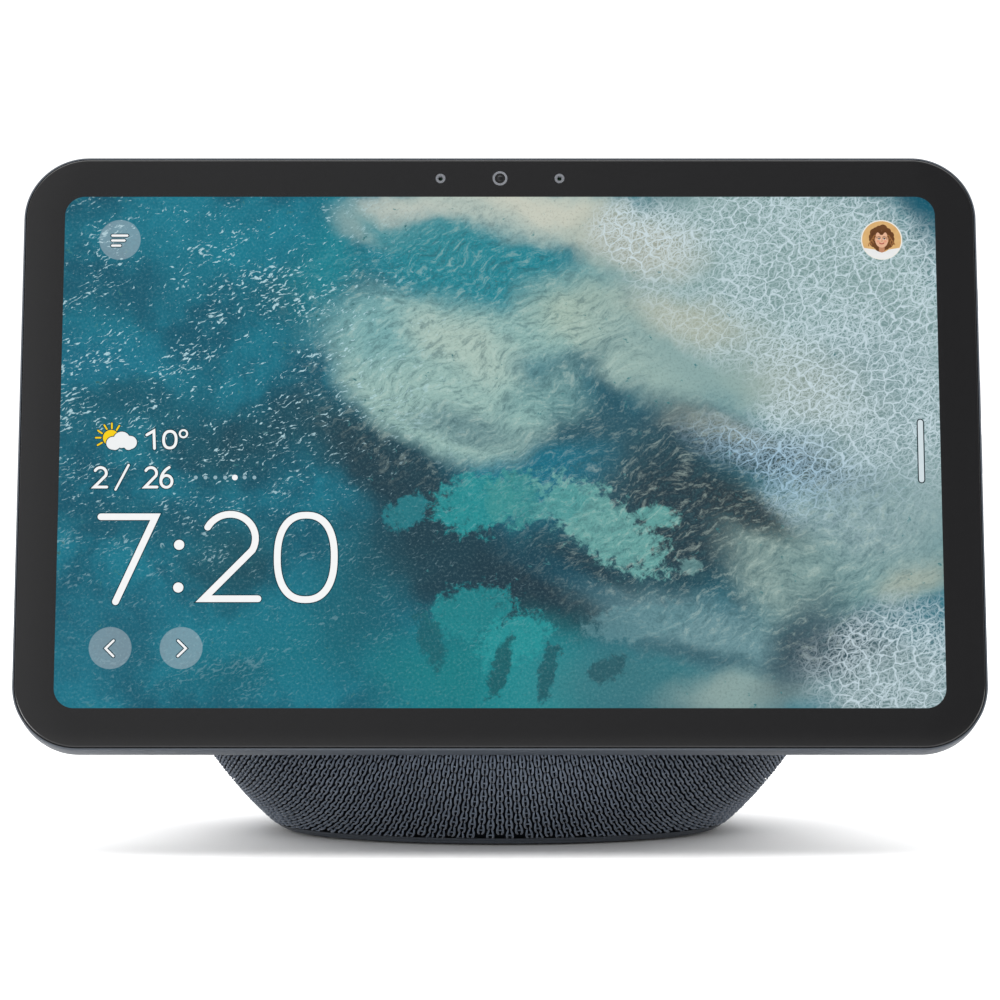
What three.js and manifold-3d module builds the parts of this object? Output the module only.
// Smart speaker: a tilted touch display that floats in front of a ball-shaped speaker in a knitted sock.
// Millimetres, +Z up. The display faces -Y, and the origin is the centre of the rubber foot's underside.

import * as THREE from 'three';
import { mergeVertices } from 'three/addons/utils/BufferGeometryUtils.js';
import Module from 'manifold-3d';

const wasm = await Module();
wasm.setup();

// ---- driving dimensions: the whole object ----
const TILT = THREE.MathUtils.degToRad(13); // the display leans back from the vertical
const BALL_RADIUS = 80.5; // outside of the knitted sock
const BALL_HEIGHT = 63.5; // ball centre above the table
const GLASS_DISTANCE = 69; // ball centre to the front of the glass, along the display's normal
const HEAD_RISE = 8; // display centre above the ball's axis, along the display

// ---- fineness: facets around a full circle ----
const FACETS = { ball: 32, plate: 32, driver: 20, small: 14, inlet: 16, hole: 8 };
const BALL_RINGS = 10;
const CORNER_STEPS = 4; // along each rounded corner

// ---- clearances ----
const GAP = 0.3; // between two pieces that touch
const GLASS_GAP = 0.2; // between the glass and the lip around it
const BALL_FIT = 2; // between the ball's faceted inside and the plates across it

// ---- display head ----
const GLASS = { width: 206.5, height: 130.1, corner: 13.4, thickness: 1.1 };
const LIP = 0.35; // thickness of the rear cover's lip beside the glass
const LIP_DROP = 0.35; // how far the lip stays below the glass front
const HEAD_DEPTH = 10.4; // glass front to the back of the rear cover
const COVER_WALL = 1.6;
const COVER_BACK_RADIUS = 4; // round between the side and the back
const LCD = { width: 193, height: 117.5, corner: 2, thickness: 2 };
const MID_FRAME_THICKNESS = 0.8;
const CAMERA = { drop: 4.2, barrelRadius: 1.6, bodyWidth: 5, bodyHeight: 3.8, barrel: 0.8, body: 1.2 };
const MIC = { offset: 13, radius: 1.1, hole: 0.45, thickness: 1.2 };
const BUTTON = { width: 3, proud: 0.45, depth: 5, flange: 1, flangeLip: 0.6, travel: 0.4 };
const BUTTONS = [
  { name: 'mute_button', centre: 34.3, length: 6.7 },
  { name: 'volume_up_button', centre: 12, length: 10.1 },
  { name: 'volume_down_button', centre: -0.15, length: 10.2 },
];
const MAIN_BOARD = { width: 120, height: 70, thickness: 0.8, drop: 15 };
const SHIELD = { width: 56, height: 40, thickness: 1.2, drop: 29 };
const SPREADER = { width: 84, height: 38, thickness: 0.6, drop: 42 };
const ANTENNA = { width: 3, height: 34, thickness: 0.6, rise: 18 };
const FLEX = { width: 40, thickness: 0.3 };

// ---- screws: radii of head and shank, and the head's thickness ----
const SMALL_SCREW = { head: 1.7, shank: 0.8, headThickness: 0.8, length: 4 };
const NECK_SCREW = { head: 3, shank: 1.3, headThickness: 1.4, length: 8 };
const BASE_SCREW = { head: 3, shank: 1.3, headThickness: 1.2, length: 7 };

// ---- neck between head and ball ----
const NECK = { width: 74, height: 40, corner: 12, rise: 4 };
const CABLE_WAY = { width: 44, height: 16, corner: 4 };
const NECK_SCREW_SPREAD = { x: 30, y: 13 };
const NECK_CABLE = { width: 26, thickness: 0.5 };

// ---- ball ----
const FRONT_CUT = 57.3; // ball centre to the flat front edge of the sock
const SOCK_THICKNESS = 1.6;
const SHELL_THICKNESS = 2.2;
const HEM_HEIGHT = 2; // lower edge of the sock above the table
const BAFFLE = { distance: 50, thickness: 2.5 };
const SLOT = { width: 6, pitch: 12 };

// ---- foot and bottom ----
const FOOT = { radius: 39.7, thickness: 1.7 };
const RING_LIFT = 0.5; // underside of the bottom ring above the table
const BASE_PLATE_THICKNESS = 3.4;
const BALLAST = { radius: 37, thickness: 5 };
const BASE_SCREW_RADIUS = 24; // of the circle that the screws stand on
const BASE_SCREW_COUNT = 3;

// ---- acoustic chamber and drivers ----
const CHAMBER = { radius: 39, back: 8, wall: 2.2, bottom: 12.5, top: 104 };
const DRIVER_HEIGHT = 64;
const WOOFER = {
  name: 'woofer', frame: 35.5, flange: 2, roll: 6.2, coil: 8.8, rim: 2.6, coneDepth: 11.4,
  basketDepth: 20, basketFoot: 16.5, magnet: 22, magnetDepth: 15.5, distance: 58, segments: FACETS.driver,
};
const SIDE_DRIVER = {
  frame: 23, flange: 1.6, roll: 3.6, coil: 6.2, rim: 2.2, coneDepth: 6.4,
  basketDepth: 12.5, basketFoot: 11.5, magnet: 14.5, magnetDepth: 10, distance: 58, segments: FACETS.small,
};
const PAPER = 0.6; // thickness of cones and coil formers
const RUBBER = 0.5; // thickness of the rolls around the cones

// ---- power inlet ----
const INLET = { height: 20, bezel: 9, recess: 5.6, barrelWay: 4.2, floor: 58.5, floorThickness: 1.8 };
const JACK = { width: 12, height: 11, length: 9.6, socket: 3.1, socketDepth: 8, pin: 0.9 };
const AUDIO_BOARD = { width: 84, height: 54, thickness: 1.6, distance: 42.5, drop: 10 };

// ---- levels worked out from the above, in the head's frame: 0 is the glass front, +Z towards the viewer ----
const OUTLINE_OFFSET = GLASS_GAP + LIP;
const COVER_FLOOR = COVER_WALL - HEAD_DEPTH;
const LCD_TOP = -GLASS.thickness - GAP;
const MID_FRAME_TOP = LCD_TOP - LCD.thickness - GAP;
const MID_FRAME_BOTTOM = MID_FRAME_TOP - MID_FRAME_THICKNESS;
const BOARD_TOP = MID_FRAME_BOTTOM - GAP;
const BOARD_BOTTOM = BOARD_TOP - MAIN_BOARD.thickness;
const SIDE_INSIDE = GLASS.width / 2 + OUTLINE_OFFSET - COVER_WALL;
const SOCK_INSIDE = BALL_RADIUS - SOCK_THICKNESS;
const SHELL_RADIUS = SOCK_INSIDE - GAP;
const SHELL_INSIDE = SHELL_RADIUS - SHELL_THICKNESS;
const SHELL_FRONT = FRONT_CUT - SOCK_THICKNESS - GAP;
const RING_TOP = HEM_HEIGHT - GAP;
const HEAD_BACK = GLASS_DISTANCE - HEAD_DEPTH;

// ================= geometry helpers =================

const radiusAt = (radius, offset) => Math.sqrt(radius * radius - offset * offset);

function roundedRect(width, height, corner) {
  const x = width / 2 - corner;
  const y = height / 2 - corner;
  const shape = new THREE.Shape();
  shape.absarc(x, y, corner, 0, Math.PI / 2);
  shape.absarc(-x, y, corner, Math.PI / 2, Math.PI);
  shape.absarc(-x, -y, corner, Math.PI, 1.5 * Math.PI);
  shape.absarc(x, -y, corner, 1.5 * Math.PI, 2 * Math.PI);
  shape.closePath();
  return shape;
}

// A rounded plate from level z0 up to level z1.
function plate(width, height, corner, z0, z1, curveSegments = CORNER_STEPS) {
  const options = { depth: z1 - z0, bevelEnabled: false, curveSegments };
  return new THREE.ExtrudeGeometry(roundedRect(width, height, corner), options).translate(0, 0, z0);
}

function block(width, height, z0, z1) {
  return new THREE.BoxGeometry(width, height, z1 - z0).translate(0, 0, (z0 + z1) / 2);
}

function disc(radius, z0, z1, segments = FACETS.hole) {
  const cylinder = new THREE.CylinderGeometry(radius, radius, z1 - z0, segments);
  return cylinder.rotateX(Math.PI / 2).translate(0, 0, (z0 + z1) / 2);
}

// A solid turned about Z. The profile is a list of [radius, height], anticlockwise with the radius to the right.
function turned(profile, segments) {
  const points = profile.map(([r, z]) => new THREE.Vector2(r, z));
  return new THREE.LatheGeometry(points, segments).rotateX(Math.PI / 2);
}

function turnedRing(profile, segments) {
  return turned([...profile, profile[0]], segments);
}

function toSolid(geometry) {
  const bare = geometry.clone();
  bare.deleteAttribute('normal');
  bare.deleteAttribute('uv');
  const merged = mergeVertices(bare, 1e-4);
  const triangles = [];
  for (let i = 0; i < merged.index.count; i += 3) {
    const [a, b, c] = [0, 1, 2].map((k) => merged.index.getX(i + k));
    if (a !== b && b !== c && c !== a) triangles.push(a, b, c);
  }
  const vertProperties = merged.attributes.position.array;
  return new wasm.Manifold(new wasm.Mesh({ numProp: 3, vertProperties, triVerts: new Uint32Array(triangles) }));
}

function toGeometry(solid) {
  const mesh = solid.getMesh();
  const geometry = new THREE.BufferGeometry();
  geometry.setAttribute('position', new THREE.BufferAttribute(new Float32Array(mesh.vertProperties), 3));
  geometry.setIndex(new THREE.BufferAttribute(new Uint32Array(mesh.triVerts), 1));
  return geometry;
}

const combine = (method) => (first, ...others) =>
  toGeometry(others.reduce((solid, other) => solid[method](toSolid(other)), toSolid(first)));
const cut = combine('subtract');
const join = combine('add');
const keep = combine('intersect');

// A solid lofted through rounded rectangles that are all inset from one outline, from the lowest level up.
function loft(width, height, corner, levels, curveSegments = CORNER_STEPS) {
  const rings = levels.map(({ inset, z }) => {
    const outline = roundedRect(width - 2 * inset, height - 2 * inset, corner - inset);
    const points = outline.getPoints(curveSegments);
    const closed = points[0].distanceTo(points[points.length - 1]) < 1e-6;
    return (closed ? points.slice(0, -1) : points).map((p) => new THREE.Vector3(p.x, p.y, z));
  });
  const count = rings[0].length;
  const position = rings.flat().flatMap((p) => [p.x, p.y, p.z]);
  const flat = rings[0].map((p) => new THREE.Vector2(p.x, p.y));
  const caps = THREE.ShapeUtils.triangulateShape(flat, []);
  const top = (rings.length - 1) * count;
  const index = caps.flatMap(([a, b, c]) => [a, c, b, top + a, top + b, top + c]);
  for (let ring = 0; ring < rings.length - 1; ring += 1) {
    for (let i = 0; i < count; i += 1) {
      const a = ring * count + i;
      const b = ring * count + ((i + 1) % count);
      index.push(a, b, b + count, a, b + count, a + count);
    }
  }
  const geometry = new THREE.BufferGeometry();
  geometry.setAttribute('position', new THREE.Float32BufferAttribute(position, 3));
  geometry.setIndex(index);
  return geometry;
}

// A flat strip of even thickness that follows a curve in the YZ plane, centred on x = 0.
function ribbon(points, width, thickness, steps) {
  const curve = new THREE.SplineCurve(points.map(([y, z]) => new THREE.Vector2(y, z)));
  const side = (sign) => Array.from({ length: steps + 1 }, (_, i) => {
    const tangent = curve.getTangent(i / steps);
    const normal = new THREE.Vector2(-tangent.y, tangent.x);
    return curve.getPoint(i / steps).addScaledVector(normal, (sign * thickness) / 2);
  });
  const shape = new THREE.Shape([...side(1), ...side(-1).reverse()]);
  const strip = new THREE.ExtrudeGeometry(shape, { depth: width, bevelEnabled: false });
  return strip.translate(0, 0, -width / 2).rotateY(Math.PI / 2).rotateX(Math.PI / 2);
}

// A screw with its head's underside at level 0 and its shank going down.
function screw({ head, shank, headThickness, length }) {
  const socket = head * 0.45;
  return turned([
    [0, -length],
    [shank, -length],
    [shank, 0],
    [head, 0],
    [head, headThickness],
    [socket, headThickness],
    [0, headThickness * 0.45],
  ], FACETS.hole);
}

const material = (color, roughness, metalness = 0) =>
  new THREE.MeshStandardMaterial({ color, roughness, metalness });

function piece(name, geometry, look, x = 0, y = 0, z = 0) {
  const mesh = new THREE.Mesh(geometry, look);
  mesh.name = name;
  mesh.position.set(x, y, z);
  return mesh;
}

// ================= frames =================
// The ball's frame has the ball centre as its origin, +Z along the display's normal and +Y up the display.

const speaker = new THREE.Group();
const ballFrame = new THREE.Group();
ballFrame.position.z = BALL_HEIGHT;
ballFrame.rotation.x = Math.PI / 2 - TILT;
speaker.add(ballFrame);
const head = new THREE.Group();
head.position.set(0, HEAD_RISE, GLASS_DISTANCE);
ballFrame.add(head);
const neckGroup = new THREE.Group();
neckGroup.position.y = NECK.rise;
ballFrame.add(neckGroup);
speaker.updateMatrixWorld(true);

const intoBallFrame = (geometry) => geometry.applyMatrix4(ballFrame.matrixWorld.clone().invert());
const NECK_IN_HEAD = NECK.rise - HEAD_RISE;

// ================= display head =================

function coverGlass() {
  const glass = plate(GLASS.width, GLASS.height, GLASS.corner, -GLASS.thickness, 0);
  const y = GLASS.height / 2 - CAMERA.drop;
  const holes = [-1, 1].map((side) =>
    disc(MIC.radius + GLASS_GAP, -2, 1, FACETS.small).translate(side * MIC.offset, y, 0));
  return piece('cover_glass', cut(glass, ...holes), material(0x0c0d10, 0.08));
}

function micPort(name, side) {
  const body = turnedRing([
    [MIC.hole, -MIC.thickness],
    [MIC.radius, -MIC.thickness],
    [MIC.radius, 0],
    [MIC.hole, -0.3],
  ], FACETS.small);
  const y = GLASS.height / 2 - CAMERA.drop;
  return piece(name, body, material(0x3b3d42, 0.5), side * MIC.offset, y, -0.05);
}

function lcdModule() {
  const panel = plate(LCD.width, LCD.height, LCD.corner, LCD_TOP - LCD.thickness, LCD_TOP, 3);
  return piece('lcd_module', panel, material(0x15181c, 0.3));
}

function cameraModule() {
  const barrel = disc(CAMERA.barrelRadius, LCD_TOP - CAMERA.barrel - 0.1, LCD_TOP, FACETS.small);
  const bottom = LCD_TOP - CAMERA.barrel - CAMERA.body;
  const body = block(CAMERA.bodyWidth, CAMERA.bodyHeight, bottom, LCD_TOP - CAMERA.barrel);
  const y = GLASS.height / 2 - CAMERA.drop;
  return piece('camera_module', join(body, barrel), material(0x1a1b1e, 0.35), 0, y, 0);
}

// The microphones sit on one narrow board on both sides of the camera.
function cameraMicBoard() {
  const y = GLASS.height / 2 - CAMERA.drop;
  const top = MID_FRAME_TOP + GAP + 0.2;
  const board = block(2 * MIC.offset + 8, 2.8, LCD_TOP - 1, LCD_TOP - 0.4);
  const notch = block(CAMERA.bodyWidth + 2 * GAP, 6, top - 4, LCD_TOP + 1);
  const bridge = block(CAMERA.bodyWidth + 6, 0.9, LCD_TOP - 1, LCD_TOP - 0.4)
    .translate(0, (CAMERA.bodyHeight + 0.9) / 2 + GAP, 0);
  const tab = (side) => block(1.6, 1.8, LCD_TOP - 1, LCD_TOP - 0.4)
    .translate(side * (CAMERA.bodyWidth / 2 + GAP + 0.8), CAMERA.bodyHeight / 2, 0);
  const strip = join(cut(board, notch), bridge, tab(-1), tab(1));
  return piece('camera_mic_board', strip, material(0x0f3b2a, 0.5), 0, y, 0);
}

const FRAME_SCREWS = [[-1, -1], [1, -1], [1, 1], [-1, 1]].map(([sx, sy]) => [
  sx * (LCD.width / 2 + SMALL_SCREW.head + 1),
  sy * (LCD.height / 2 - 9),
]);
const FRAME_BORDER = GAP + 0.1; // between the frame and the cover's side wall

function midFrame() {
  const inset = COVER_WALL - OUTLINE_OFFSET + FRAME_BORDER;
  const tray = plate(GLASS.width - 2 * inset, GLASS.height - 2 * inset, GLASS.corner - inset,
    MID_FRAME_BOTTOM, MID_FRAME_TOP);
  const low = BUTTONS[2].centre - BUTTONS[2].length / 2 - 4;
  const high = BUTTONS[0].centre + BUTTONS[0].length / 2 + 4;
  const buttonNotch = block(10, high - low, -10, 0).translate(SIDE_INSIDE - 4.4 + 5, (low + high) / 2, 0);
  const flexNotch = block(FLEX.width + 4, 10, -10, 0).translate(0, -LCD.height / 2 - 5 + 1, 0);
  const cableHole = block(CABLE_WAY.width, CABLE_WAY.height, -10, 0).translate(0, NECK_IN_HEAD, 0);
  const holes = FRAME_SCREWS.map(([x, y]) =>
    disc(SMALL_SCREW.shank + GAP, -10, 0).translate(x, y, 0));
  const windows = [-1, 1].map((side) => block(30, 60, -10, 0).translate(side * 76, 0, 0));
  return piece('mid_frame', cut(tray, buttonNotch, flexNotch, cableHole, ...holes, ...windows),
    material(0x8c9096, 0.45, 0.9));
}

const buttonSlab = (length, spare, x0, x1) =>
  plate(BUTTON.width + 2 * spare, length + 2 * spare, BUTTON.width / 2 + spare - 0.01, x0, x1, 3)
    .rotateY(Math.PI / 2).translate(0, 0, -BUTTON.depth);

function rearCover() {
  const width = GLASS.width + 2 * OUTLINE_OFFSET;
  const height = GLASS.height + 2 * OUTLINE_OFFSET;
  const corner = GLASS.corner + OUTLINE_OFFSET;
  const roundSteps = 3;
  const round = Array.from({ length: roundSteps + 1 }, (_, i) => {
    const angle = (i / roundSteps) * (Math.PI / 2);
    const inset = COVER_BACK_RADIUS * (1 - Math.sin(angle));
    return { inset, z: -HEAD_DEPTH + COVER_BACK_RADIUS * (1 - Math.cos(angle)) };
  });
  const outside = loft(width, height, corner, [...round, { inset: 0, z: -LIP_DROP }]);
  const inside = plate(width - 2 * COVER_WALL, height - 2 * COVER_WALL, corner - COVER_WALL,
    COVER_FLOOR, 1);
  const glassSeat = plate(GLASS.width + 2 * GLASS_GAP, GLASS.height + 2 * GLASS_GAP,
    GLASS.corner + GLASS_GAP, -GLASS.thickness - GAP, 1);
  const slots = BUTTONS.map(({ centre, length }) =>
    buttonSlab(length, GAP, SIDE_INSIDE - 1, SIDE_INSIDE + COVER_WALL + 1).translate(0, centre, 0));
  const cableHole = plate(CABLE_WAY.width, CABLE_WAY.height, CABLE_WAY.corner, -HEAD_DEPTH - 1, 0, 3)
    .translate(0, NECK_IN_HEAD, 0);
  const screwHoles = neckScrewPlaces().map(([x, y]) =>
    disc(NECK_SCREW.shank + GAP, -HEAD_DEPTH - 1, 0).translate(x, y + NECK_IN_HEAD, 0));
  const bosses = FRAME_SCREWS.map(([x, y]) =>
    disc(SMALL_SCREW.shank + 1.2, COVER_FLOOR - 0.2, MID_FRAME_BOTTOM - GAP).translate(x, y, 0));
  const bossHoles = FRAME_SCREWS.map(([x, y]) =>
    disc(SMALL_SCREW.shank + GAP, COVER_FLOOR, 0).translate(x, y, 0));
  const shell = cut(outside, inside, glassSeat);
  return piece('rear_cover', cut(join(shell, ...bosses), ...slots, cableHole, ...screwHoles, ...bossHoles),
    material(0x3c434c, 0.55));
}

function sideButton({ name, centre, length }) {
  const cap = buttonSlab(length, 0, SIDE_INSIDE - GAP - 0.1, SIDE_INSIDE + COVER_WALL + BUTTON.proud);
  const flange = buttonSlab(length, BUTTON.flangeLip, SIDE_INSIDE - GAP - BUTTON.flange, SIDE_INSIDE - GAP);
  return piece(name, join(cap, flange), material(0x434b55, 0.5), 0, centre, 0);
}

// A board on edge behind the buttons, with one dome switch for each of them.
function buttonBoard() {
  const domeTip = SIDE_INSIDE - GAP - BUTTON.flange - BUTTON.travel - 0.15;
  const boardFace = domeTip - 0.7;
  const low = BUTTONS[2].centre - BUTTONS[2].length / 2;
  const high = BUTTONS[0].centre + BUTTONS[0].length / 2;
  const board = new THREE.BoxGeometry(0.8, high - low, BUTTON.width)
    .translate(boardFace - 0.4, (low + high) / 2, -BUTTON.depth);
  const domes = BUTTONS.map(({ centre }) => disc(1.2, -0.1, domeTip - boardFace)
    .rotateY(Math.PI / 2).translate(boardFace, centre, -BUTTON.depth));
  return piece('button_board', join(board, ...domes), material(0x0f3b2a, 0.5));
}

function mainBoard() {
  const board = block(MAIN_BOARD.width, MAIN_BOARD.height, BOARD_BOTTOM, BOARD_TOP);
  const chips = [[-46, 20, 16, 12], [-46, -14, 12, 20], [46, 22, 14, 14], [48, -18, 10, 16]];
  const parts = chips.map(([x, y, width, height]) =>
    block(width, height, BOARD_BOTTOM - 1.1, BOARD_BOTTOM + 0.1).translate(x, y, 0));
  const hole = block(CABLE_WAY.width - 8, CABLE_WAY.height - 4, -10, 0)
    .translate(0, MAIN_BOARD.drop + NECK_IN_HEAD, 0);
  return piece('main_board', cut(join(board, ...parts), hole), material(0x103a2c, 0.5), 0, -MAIN_BOARD.drop, 0);
}

function shieldCan() {
  const top = BOARD_BOTTOM - GAP;
  const can = block(SHIELD.width, SHIELD.height, top - SHIELD.thickness, top);
  return piece('shield_can', can, material(0xb8babd, 0.35, 1), 0, -SHIELD.drop, 0);
}

function heatSpreader() {
  const top = BOARD_BOTTOM - GAP - SHIELD.thickness - GAP;
  const sheet = plate(SPREADER.width, SPREADER.height, 4, top - SPREADER.thickness, top, 3);
  return piece('heat_spreader', sheet, material(0xa9acb0, 0.4, 1), 0, -SPREADER.drop, 0);
}

function antenna(name, side) {
  const strip = block(ANTENNA.width, ANTENNA.height, BOARD_BOTTOM - ANTENNA.thickness, BOARD_BOTTOM);
  const x = side * (SIDE_INSIDE - 6 - ANTENNA.width);
  return piece(name, strip, material(0xc9a45a, 0.4, 0.8), x, -ANTENNA.rise, 0);
}

// The panel's flat cable folds round the mid frame's lower edge to the main board.
function displayFlex() {
  const lcdEdge = -LCD.height / 2 - GAP - FLEX.thickness;
  const boardEdge = -MAIN_BOARD.drop - MAIN_BOARD.height / 2 - GAP;
  const path = [
    [lcdEdge, LCD_TOP - 0.6],
    [lcdEdge - 1.6, LCD_TOP - 1.8],
    [lcdEdge - 1.6, BOARD_TOP + 0.2],
    [lcdEdge, BOARD_BOTTOM + 0.2],
    [boardEdge, BOARD_BOTTOM + 0.3],
  ];
  return piece('display_flex', ribbon(path, FLEX.width, FLEX.thickness, 14), material(0x9a6a2a, 0.5));
}

function frameScrews() {
  return FRAME_SCREWS.map(([x, y], i) =>
    piece(`frame_screw_${i + 1}`, screw(SMALL_SCREW), material(0x9b9ea3, 0.35, 1), x, y, MID_FRAME_TOP + 0.05));
}

// ================= neck =================

function neckScrewPlaces() {
  const { x, y } = NECK_SCREW_SPREAD;
  return [[-x, -y], [x, -y], [x, y], [-x, y]];
}

const baffleScrewPlaces = () => [-1, 1].map((side) => [side * NECK_SCREW_SPREAD.x, 0]);

function neck() {
  const body = plate(NECK.width, NECK.height, NECK.corner, BAFFLE.distance + GAP, HEAD_BACK - GAP);
  const cableWay = plate(CABLE_WAY.width, CABLE_WAY.height, CABLE_WAY.corner, 40, 70, 3);
  const holes = [...neckScrewPlaces(), ...baffleScrewPlaces()].map(([x, y]) =>
    disc(NECK_SCREW.shank + GAP, 40, 70).translate(x, y, 0));
  return piece('neck', cut(body, cableWay, ...holes), material(0x2b3036, 0.6));
}

function neckScrews() {
  const z = GLASS_DISTANCE + COVER_FLOOR + GAP / 2;
  return neckScrewPlaces().map(([x, y], i) =>
    piece(`neck_screw_${i + 1}`, screw(NECK_SCREW), material(0x8f9296, 0.35, 1), x, y, z));
}

function baffleScrews() {
  return baffleScrewPlaces().map(([x, y], i) => {
    const mesh = piece(`baffle_screw_${i + 1}`, screw(NECK_SCREW), material(0x8f9296, 0.35, 1), x, y,
      BAFFLE.distance - BAFFLE.thickness - GAP / 2);
    mesh.rotation.x = Math.PI;
    return mesh;
  });
}

// The flat cable from the head's main board to the audio board in the ball.
function neckCable() {
  const low = AUDIO_BOARD.distance + AUDIO_BOARD.thickness + GAP;
  const high = GLASS_DISTANCE + BOARD_TOP;
  const path = [[-3, low], [-3, low + 4], [3, (low + high) / 2], [-1, high - 4], [-1, high]];
  return piece('neck_cable', ribbon(path, NECK_CABLE.width, NECK_CABLE.thickness, 12),
    material(0x2d2f33, 0.5));
}

// ================= ball =================

// A solid ball, flat at the front, with the same facets at every radius.
function ball(radius, front, segments = FACETS.ball, rings = BALL_RINGS) {
  const last = Math.asin(front / radius);
  const arc = Array.from({ length: rings + 1 }, (_, i) => {
    const angle = -Math.PI / 2 + (i / rings) * (last + Math.PI / 2);
    return [i === 0 ? 0 : radius * Math.cos(angle), radius * Math.sin(angle)];
  });
  return turned([...arc, [0, front]], segments);
}

const below = (level) =>
  intoBallFrame(new THREE.BoxGeometry(400, 400, 200).translate(0, 0, level - 100));

const inletWay = (radius, y0, y1, segments = FACETS.inlet) =>
  disc(radius, y0, y1, segments).rotateX(-Math.PI / 2).translate(0, 0, INLET.height);

function fabricSock() {
  const opening = disc(radiusAt(SHELL_INSIDE, SHELL_FRONT), 0, 90, FACETS.ball);
  const body = cut(ball(BALL_RADIUS, FRONT_CUT), ball(SOCK_INSIDE, FRONT_CUT - SOCK_THICKNESS),
    opening, below(HEM_HEIGHT), intoBallFrame(inletWay(INLET.bezel + GAP, 50, 100)));
  return piece('fabric_sock', body, material(0x343b46, 0.95));
}

// Slots let the sound of one driver out. They fill the circle in front of its frame.
function grilleSlots(spec, place) {
  const reach = spec.frame - 4;
  const count = Math.floor(reach / SLOT.pitch);
  return Array.from({ length: 2 * count + 1 }, (_, i) => {
    const across = (i - count) * SLOT.pitch;
    const length = 2 * radiusAt(reach, across);
    return place(new THREE.BoxGeometry(SLOT.width, length, 60).translate(across, 0, 80));
  });
}

const facingBack = (geometry) =>
  geometry.rotateX(-Math.PI / 2).translate(0, CHAMBER.back, DRIVER_HEIGHT);
const facingSide = (side) => (geometry) =>
  geometry.rotateZ(Math.PI / 2).rotateY((side * Math.PI) / 2).rotateX(Math.PI / 2)
    .translate(0, CHAMBER.back, DRIVER_HEIGHT);

// The grille shell is moulded in two halves that meet in the plane x = 0.
function ballShell() {
  const slots = [
    ...grilleSlots(WOOFER, facingBack),
    ...grilleSlots(SIDE_DRIVER, facingSide(1)),
    ...grilleSlots(SIDE_DRIVER, facingSide(-1)),
  ].map(intoBallFrame);
  const body = cut(ball(SHELL_RADIUS, SHELL_FRONT), ball(SHELL_INSIDE, SHELL_FRONT + 10),
    below(HEM_HEIGHT), intoBallFrame(inletWay(INLET.bezel + GAP, 50, 100)), ...slots);
  return [['ball_shell_left', -1], ['ball_shell_right', 1]].map(([name, side]) => {
    const half = new THREE.BoxGeometry(200, 400, 400).translate(side * (100 + GAP / 2), 0, 0);
    return piece(name, keep(body, half), material(0x1f2329, 0.7));
  });
}

function frontBaffle() {
  const radius = radiusAt(SHELL_INSIDE, BAFFLE.distance) - BALL_FIT;
  const z0 = BAFFLE.distance - BAFFLE.thickness;
  const cableWay = plate(CABLE_WAY.width, CABLE_WAY.height, CABLE_WAY.corner, z0 - 5, z0 + 10, 3)
    .translate(0, NECK.rise, 0);
  const holes = baffleScrewPlaces().map(([x, y]) =>
    disc(NECK_SCREW.shank + GAP, z0 - 5, z0 + 10).translate(x, y + NECK.rise, 0));
  return piece('front_baffle', cut(disc(radius, z0, BAFFLE.distance, FACETS.plate), cableWay, ...holes),
    material(0x22262c, 0.65));
}

function bottomRing() {
  const outerAt = (z) => radiusAt(BALL_RADIUS, BALL_HEIGHT - z) - 0.15;
  return piece('bottom_ring', turnedRing([
    [FOOT.radius + GAP, RING_LIFT],
    [outerAt(RING_LIFT) - 0.6, RING_LIFT],
    [outerAt(RING_LIFT + 0.5), RING_LIFT + 0.5],
    [outerAt(RING_TOP), RING_TOP],
    [FOOT.radius + GAP, RING_TOP],
  ], FACETS.ball), material(0x2b313a, 0.6));
}

const BASE_PLATE_TOP = HEM_HEIGHT + BASE_PLATE_THICKNESS;
const SCREW_SEAT = HEM_HEIGHT + BASE_SCREW.headThickness + GAP;

function baseScrewPlaces() {
  return Array.from({ length: BASE_SCREW_COUNT }, (_, i) => {
    const angle = Math.PI / 2 + (i * 2 * Math.PI) / BASE_SCREW_COUNT;
    return [BASE_SCREW_RADIUS * Math.cos(angle), BASE_SCREW_RADIUS * Math.sin(angle)];
  });
}

function basePlate() {
  const radius = radiusAt(SHELL_INSIDE, BALL_HEIGHT - HEM_HEIGHT) - BALL_FIT;
  const holes = baseScrewPlaces().flatMap(([x, y]) => [
    disc(BASE_SCREW.shank + GAP, 0, 20).translate(x, y, 0),
    disc(BASE_SCREW.head + GAP, 0, SCREW_SEAT).translate(x, y, 0),
  ]);
  return piece('base_plate', cut(disc(radius, HEM_HEIGHT, BASE_PLATE_TOP, FACETS.plate), ...holes),
    material(0x22262c, 0.65));
}

function rubberFoot() {
  return piece('rubber_foot', turned([
    [0, 0],
    [FOOT.radius - 0.4, 0],
    [FOOT.radius, 0.4],
    [FOOT.radius, FOOT.thickness],
    [0, FOOT.thickness],
  ], FACETS.ball), material(0x17181a, 0.9));
}

function ballastPlate() {
  const z0 = BASE_PLATE_TOP + GAP;
  const holes = baseScrewPlaces().map(([x, y]) => disc(BASE_SCREW.shank + GAP, 0, 20).translate(x, y, 0));
  return piece('ballast_plate', cut(disc(BALLAST.radius, z0, z0 + BALLAST.thickness, FACETS.plate), ...holes),
    material(0x6f7378, 0.5, 1));
}

function baseScrews() {
  return baseScrewPlaces().map(([x, y], i) => {
    const mesh = piece(`base_screw_${i + 1}`, screw(BASE_SCREW), material(0x8f9296, 0.35, 1), x, y,
      SCREW_SEAT - GAP / 2);
    mesh.rotation.x = Math.PI;
    return mesh;
  });
}

// ================= acoustic chamber and drivers =================

const bore = (spec) => spec.frame - spec.rim + GAP;
const collarEnd = (spec) => spec.distance - spec.flange - GAP;

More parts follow.
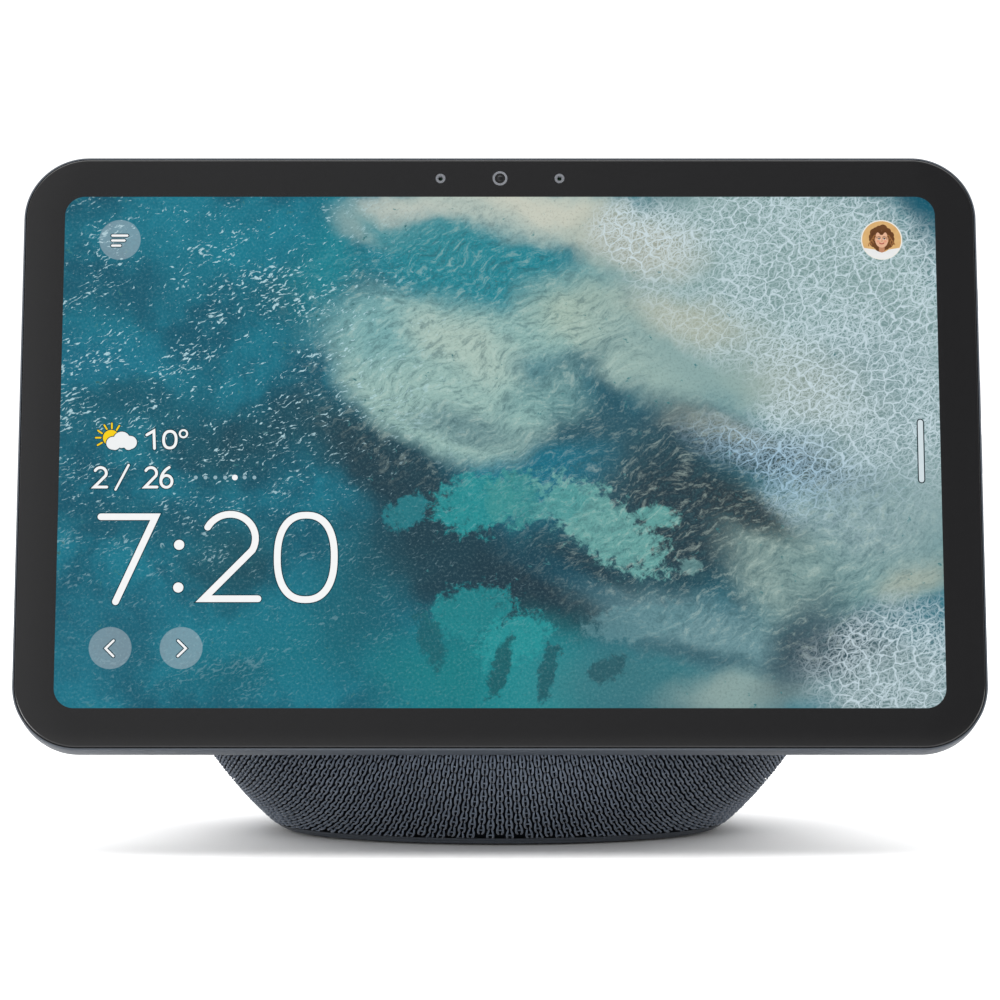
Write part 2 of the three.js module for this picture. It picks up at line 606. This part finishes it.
// A drum with a collar for each driver. The woofer looks back, and the two others look left and right.
function acousticChamber() {
  const { radius, wall, bottom, top, back } = CHAMBER;
  const drum = disc(radius, bottom, top, FACETS.plate).translate(0, back, 0);
  const inside = disc(radius - wall, bottom + wall, top - wall, FACETS.plate).translate(0, back, 0);
  const drivers = [
    [WOOFER, facingBack, 0],
    [SIDE_DRIVER, facingSide(1), 0],
    [SIDE_DRIVER, facingSide(-1), 0],
  ];
  const reachOf = (spec) => collarEnd(spec) - (spec === WOOFER ? CHAMBER.back : 0);
  const collars = drivers.map(([spec, place]) =>
    place(disc(spec.frame + 0.5, radius * 0.5, reachOf(spec), spec.segments)));
  const bores = drivers.map(([spec, place]) => place(disc(bore(spec), 0, 100, spec.segments)));
  return piece('acoustic_chamber', cut(join(drum, ...collars), inside, ...bores), material(0x1d2024, 0.7));
}

// A loudspeaker along +Z, with the front of its flange at level 0. Its magnet is behind.
function driver(prefix, spec) {
  const { frame, flange, roll, coil, rim, coneDepth, basketDepth, basketFoot, segments } = spec;
  const group = new THREE.Group();
  const coneEdge = frame - rim - GAP - roll - GAP;
  const wall = 1.2;
  const basket = turnedRing([
    [coil + 1.2, -basketDepth],
    [basketFoot, -basketDepth],
    [frame - rim, -flange],
    [frame, -flange],
    [frame, 0],
    [frame - rim, 0],
    [frame - rim, -0.6 * flange],
    [frame - rim - wall, -flange],
    [basketFoot - wall, -basketDepth + wall],
    [coil + 1.2, -basketDepth + wall],
  ], segments);
  const slits = [0, 1].map((i) => block(2 * frame, basketFoot * 0.5, -basketDepth * 0.78, -flange - 3)
    .rotateZ(Math.PI / 4 + (i * Math.PI) / 2));
  group.add(piece(`${prefix}_basket`, cut(basket, ...slits), material(0x26282c, 0.5, 0.3)));

  const rollAt = (radius, angle) => [
    coneEdge + GAP + roll / 2 - radius * Math.cos(angle),
    -0.5 + radius * 0.8 * Math.sin(angle),
  ];
  const steps = 3;
  const angles = Array.from({ length: steps + 1 }, (_, i) => (i / steps) * Math.PI);
  const rollProfile = [
    ...angles.map((angle) => rollAt(roll / 2 - RUBBER, angle)),
    ...angles.toReversed().map((angle) => rollAt(roll / 2, angle)),
  ];
  group.add(piece(`${prefix}_surround`, turnedRing(rollProfile, segments), material(0x141416, 0.8)));

  const coneFoot = -0.6 - coneDepth;
  const coilEnd = -basketDepth - 2;
  const cone = turned([
    [0, coneFoot + 3],
    [coil - PAPER, coneFoot + 0.4],
    [coil - PAPER, coilEnd],
    [coil, coilEnd],
    [coil, coneFoot - PAPER],
    [coneEdge, -0.6 - PAPER],
    [coneEdge, -0.6],
    [coil + 0.6, coneFoot + 0.4],
    [coil * 0.62, coneFoot + 2.8],
    [0, coneFoot + 3 + PAPER],
  ], segments);
  group.add(piece(`${prefix}_cone`, cone, material(0x1b1c1f, 0.75)));

  const gapBottom = -basketDepth - spec.magnetDepth + 4;
  const magnet = turned([
    [0, -basketDepth - spec.magnetDepth],
    [spec.magnet, -basketDepth - spec.magnetDepth],
    [spec.magnet, -basketDepth - GAP],
    [coil + 0.8, -basketDepth - GAP],
    [coil + 0.8, gapBottom],
    [coil - PAPER - 0.6, gapBottom],
    [coil - PAPER - 0.6, -basketDepth],
    [0, -basketDepth],
  ], segments);
  group.add(piece(`${prefix}_magnet`, magnet, material(0x55585c, 0.4, 0.9)));
  return group;
}

// The woofer's second suspension, a rippled ring between its coil and its basket.
function spider() {
  const level = -0.6 - WOOFER.coneDepth - 3.2;
  const slope = (WOOFER.frame - WOOFER.rim - WOOFER.basketFoot) / (WOOFER.basketDepth - WOOFER.flange);
  const outer = WOOFER.basketFoot - 2.4 + slope * (WOOFER.basketDepth + level);
  const inner = WOOFER.coil + GAP;
  const ripples = 4;
  const edge = Array.from({ length: ripples + 1 }, (_, i) =>
    [inner + (i / ripples) * (outer - inner), level + (i % 2) * 0.8]);
  const profile = [...edge, ...edge.toReversed().map(([r, z]) => [r, z + 0.4])];
  return piece('woofer_spider', turnedRing(profile, FACETS.driver), material(0xb59a5a, 0.9));
}

function wooferUnit() {
  const unit = driver('woofer', WOOFER);
  unit.add(spider());
  unit.position.set(0, WOOFER.distance, DRIVER_HEIGHT);
  unit.rotation.x = -Math.PI / 2;
  return unit;
}

function sideUnit(prefix, side) {
  const unit = driver(prefix, SIDE_DRIVER);
  unit.position.set(side * SIDE_DRIVER.distance, CHAMBER.back, DRIVER_HEIGHT);
  unit.rotation.y = (side * Math.PI) / 2;
  return unit;
}

// ================= power =================

function inletBezel() {
  const { bezel, recess, barrelWay, floor, floorThickness } = INLET;
  const sphere = ball(BALL_RADIUS - GAP, FRONT_CUT, 2 * FACETS.ball, 2 * BALL_RINGS).applyMatrix4(ballFrame.matrixWorld);
  const ring = cut(inletWay(bezel, floor, 90, FACETS.driver), inletWay(recess, floor + floorThickness, 95),
    inletWay(barrelWay, 40, 95));
  return piece('inlet_bezel', keep(ring, sphere), material(0x23272e, 0.6));
}

function dcInlet() {
  const end = INLET.floor - GAP;
  const body = new THREE.BoxGeometry(JACK.width, JACK.length, JACK.height)
    .translate(0, end - JACK.length / 2, INLET.height);
  const socket = inletWay(JACK.socket, end - JACK.socketDepth, end + 5);
  const pin = inletWay(JACK.pin, end - JACK.socketDepth - 0.5, end - 0.8, FACETS.hole);
  return piece('dc_inlet', join(cut(body, socket), pin), material(0x16171a, 0.5));
}

function audioBoard() {
  const { width, height, thickness, distance, drop } = AUDIO_BOARD;
  const board = block(width, height, distance, distance + thickness);
  const chips = [[-26, 8, 14, 14], [26, -10, 18, 10], [-24, -16, 10, 8]].map(([x, y, w, h]) =>
    block(w, h, distance + thickness - 0.1, distance + thickness + 1.4).translate(x, y, 0));
  const cans = [-34, 34].map((x) => disc(4, distance - 9, distance + 0.1).translate(x, -12, 0));
  return piece('audio_board', join(board, ...chips, ...cans), material(0x103a2c, 0.5), 0, -drop, 0);
}

// ================= assembly =================

head.add(
  coverGlass(), lcdModule(), midFrame(), rearCover(),
  cameraModule(), cameraMicBoard(), micPort('mic_port_left', -1), micPort('mic_port_right', 1),
  ...BUTTONS.map(sideButton), buttonBoard(),
  mainBoard(), shieldCan(), heatSpreader(), antenna('antenna_left', -1), antenna('antenna_right', 1),
  displayFlex(), ...frameScrews(),
);
neckGroup.add(neck(), neckCable(), ...neckScrews(), ...baffleScrews());
ballFrame.add(fabricSock(), ...ballShell(), frontBaffle(), audioBoard());
speaker.add(
  bottomRing(), basePlate(), rubberFoot(), ballastPlate(), ...baseScrews(),
  acousticChamber(), wooferUnit(), sideUnit('left_driver', -1), sideUnit('right_driver', 1),
  inletBezel(), dcInlet(),
);

export default speaker;
